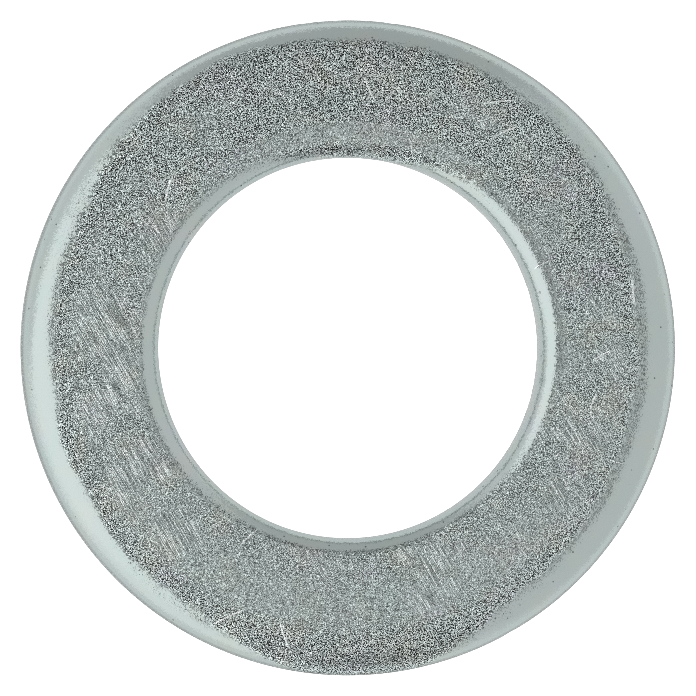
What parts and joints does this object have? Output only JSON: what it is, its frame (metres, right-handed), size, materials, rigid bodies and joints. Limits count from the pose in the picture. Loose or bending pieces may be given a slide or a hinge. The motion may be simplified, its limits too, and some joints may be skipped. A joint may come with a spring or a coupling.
{
  "type": "flat washer",
  "caption": "Round flat washer of zinc-plated steel with a plain bolt hole and rounded upper edges, which spreads the load under a bolt head or nut.",
  "frame": {"origin": "centre of the bolt hole, in the plane of the lower bearing face", "axes": "+Z along the bolt hole's axis, from the lower face, with the sheared corners, to the upper face, with the rolled edges; X and Y lie in the lower face, and the part is round, so their direction is free"},
  "size_m": [0.0296, 0.0296, 0.003],
  "materials": {
    "zinc_plated_steel": "satin"
  },
  "bodies": {
    "root": {"washer": "zinc_plated_steel"}
  },
  "joints": []
}
